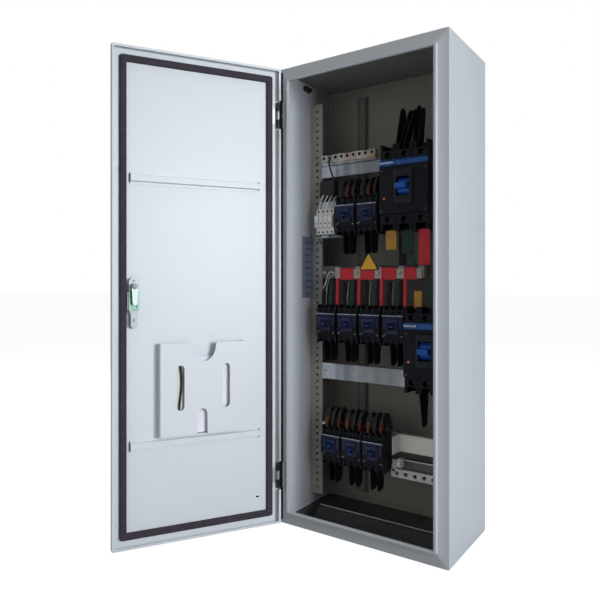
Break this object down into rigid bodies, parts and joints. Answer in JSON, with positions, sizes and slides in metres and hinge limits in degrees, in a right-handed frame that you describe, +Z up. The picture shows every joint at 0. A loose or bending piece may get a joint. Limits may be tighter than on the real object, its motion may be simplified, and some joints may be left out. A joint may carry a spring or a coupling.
{
  "type": "power distribution cabinet",
  "caption": "Tall sheet-steel electrical combiner cabinet with an open hinged door, swing-handle lock, mounting rails, busbar and rows of moulded-case breakers with rocking toggles.",
  "frame": {"origin": "centre of the cabinet's base, on the floor", "axes": "+Z up, +Y to the back (wall side), +X to the right seen from the front; the door is hinged on the left and stands open"},
  "size_m": [0.8798, 0.9113, 1.6],
  "materials": {
    "grey_paint": "satin powder coat",
    "galvanised": "bright zinc",
    "cream_bracket": "satin",
    "cream_plastic": "satin",
    "white_plastic": "satin",
    "blue_cover": "satin",
    "red_insulation": "satin sleeve over copper",
    "foam": "matt foam",
    "black_metal": "satin black",
    "pin_steel": "bright",
    "chrome": "satin chrome",
    "zinc_clamp": "yellow-green passivated zinc",
    "black_button": "gloss",
    "breaker_case": "moulded, fine texture",
    "breaker_toggle": "satin"
  },
  "bodies": {
    "cabinet": {"cabinet_shell": "grey_paint", "back_panel": "grey_paint", "upright_left": "grey_paint", "upright_right": "grey_paint", "gland_plate": "galvanised", "rail_top": "galvanised", "rail_upper": "galvanised", "rail_busbar": "galvanised", "rail_middle": "galvanised", "rail_lower": "galvanised", "rail_bottom": "galvanised", "rail_earth": "galvanised", "surge_bracket": "galvanised", "neutral_bar": "galvanised", "bracket_right": "cream_bracket", "terminal_strip": "cream_plastic", "surge_unit": "white_plastic", "wiring_cover": "blue_cover", "busbar_red": "red_insulation", "hinge_upper_frame_leaf": "black_metal", "hinge_lower_frame_leaf": "black_metal", "hinge_upper_pin": "pin_steel", "hinge_lower_pin": "pin_steel", "main_breaker_case": "breaker_case", "tie_breaker_case": "breaker_case", "upper_breaker_1_case": "breaker_case", "upper_breaker_2_case": "breaker_case", "middle_breaker_1_case": "breaker_case", "middle_breaker_2_case": "breaker_case", "middle_breaker_3_case": "breaker_case", "middle_breaker_4_case": "breaker_case", "lower_breaker_1_case": "breaker_case", "lower_breaker_2_case": "breaker_case", "lower_breaker_3_case": "breaker_case"},
    "door": {"door_panel": "grey_paint", "door_gasket": "foam", "stiffener_upper": "grey_paint", "stiffener_lower": "grey_paint", "document_pocket": "grey_paint", "lock_faceplate": "chrome", "lock_body": "zinc_clamp", "hinge_upper_door_leaf": "galvanised", "hinge_lower_door_leaf": "galvanised"},
    "handle": {"handle_pivot": "chrome", "latch_cam": "galvanised", "lift_pin": "galvanised"},
    "lever": {"handle_lever": "chrome"},
    "button": {"release_button": "black_button"},
    "key": {"key_core": "chrome"},
    "main_breaker_lever": {"main_breaker_toggle": "breaker_toggle"},
    "tie_breaker_lever": {"tie_breaker_toggle": "breaker_toggle"},
    "upper_breaker_1_lever": {"upper_breaker_1_toggle": "breaker_toggle"},
    "upper_breaker_2_lever": {"upper_breaker_2_toggle": "breaker_toggle"},
    "middle_breaker_1_lever": {"middle_breaker_1_toggle": "breaker_toggle"},
    "middle_breaker_2_lever": {"middle_breaker_2_toggle": "breaker_toggle"},
    "middle_breaker_3_lever": {"middle_breaker_3_toggle": "breaker_toggle"},
    "middle_breaker_4_lever": {"middle_breaker_4_toggle": "breaker_toggle"},
    "lower_breaker_1_lever": {"lower_breaker_1_toggle": "breaker_toggle"},
    "lower_breaker_2_lever": {"lower_breaker_2_toggle": "breaker_toggle"},
    "lower_breaker_3_lever": {"lower_breaker_3_toggle": "breaker_toggle"}
  },
  "joints": [
    {"name": "door_hinge", "type": "hinge", "parent": "cabinet", "child": "door", "pos_m": [-0.293, -0.198, 0.8], "axis": [0, 0, -1], "range_deg": [-118, 12]},
    {"name": "handle_swing", "type": "hinge", "parent": "door", "child": "handle", "pos_m": [-0.54378, -0.65473, 0.835], "axis": [0.8829, -0.4695, 0], "range_deg": [-90, 0]},
    {"name": "handle_lift", "type": "hinge", "parent": "handle", "child": "lever", "pos_m": [-0.55702, -0.64769, 0.835], "axis": [0, 0, 1], "range_deg": [0, 25]},
    {"name": "release_press", "type": "slide", "parent": "door", "child": "button", "axis": [0.8829, -0.4695, 0], "range_m": [0, 0.003], "stiffness_N_per_m": 300, "springref_m": -0.002},
    {"name": "key_turn", "type": "hinge", "parent": "button", "child": "key", "pos_m": [-0.54819, -0.65238, 0.717], "axis": [0.8829, -0.4695, 0], "range_deg": [0, 90]},
    {"name": "main_breaker_toggle_swing", "type": "hinge", "parent": "cabinet", "child": "main_breaker_lever", "pos_m": [0.108, -0.0296, 1.166], "axis": [1, 0, 0], "range_deg": [-18, 18]},
    {"name": "tie_breaker_toggle_swing", "type": "hinge", "parent": "cabinet", "child": "tie_breaker_lever", "pos_m": [0.181, -0.0296, 0.625], "axis": [1, 0, 0], "range_deg": [-18, 18]},
    {"name": "upper_breaker_1_toggle_swing", "type": "hinge", "parent": "cabinet", "child": "upper_breaker_1_lever", "pos_m": [-0.117, -0.0266, 1.0865], "axis": [1, 0, 0], "range_deg": [-18, 18]},
    {"name": "upper_breaker_2_toggle_swing", "type": "hinge", "parent": "cabinet", "child": "upper_breaker_2_lever", "pos_m": [-0.034, -0.0266, 1.0865], "axis": [1, 0, 0], "range_deg": [-18, 18]},
    {"name": "middle_breaker_1_toggle_swing", "type": "hinge", "parent": "cabinet", "child": "middle_breaker_1_lever", "pos_m": [-0.194, -0.0266, 0.6985], "axis": [1, 0, 0], "range_deg": [-18, 18]},
    {"name": "middle_breaker_2_toggle_swing", "type": "hinge", "parent": "cabinet", "child": "middle_breaker_2_lever", "pos_m": [-0.109, -0.0266, 0.6985], "axis": [1, 0, 0], "range_deg": [-18, 18]},
    {"name": "middle_breaker_3_toggle_swing", "type": "hinge", "parent": "cabinet", "child": "middle_breaker_3_lever", "pos_m": [-0.024, -0.0266, 0.6985], "axis": [1, 0, 0], "range_deg": [-18, 18]},
    {"name": "middle_breaker_4_toggle_swing", "type": "hinge", "parent": "cabinet", "child": "middle_breaker_4_lever", "pos_m": [0.061, -0.0266, 0.6985], "axis": [1, 0, 0], "range_deg": [-18, 18]},
    {"name": "lower_breaker_1_toggle_swing", "type": "hinge", "parent": "cabinet", "child": "lower_breaker_1_lever", "pos_m": [-0.174, -0.0266, 0.2585], "axis": [1, 0, 0], "range_deg": [-18, 18]},
    {"name": "lower_breaker_2_toggle_swing", "type": "hinge", "parent": "cabinet", "child": "lower_breaker_2_lever", "pos_m": [-0.093, -0.0266, 0.2585], "axis": [1, 0, 0], "range_deg": [-18, 18]},
    {"name": "lower_breaker_3_toggle_swing", "type": "hinge", "parent": "cabinet", "child": "lower_breaker_3_lever", "pos_m": [-0.012, -0.0266, 0.2585], "axis": [1, 0, 0], "range_deg": [-18, 18]}
  ]
}
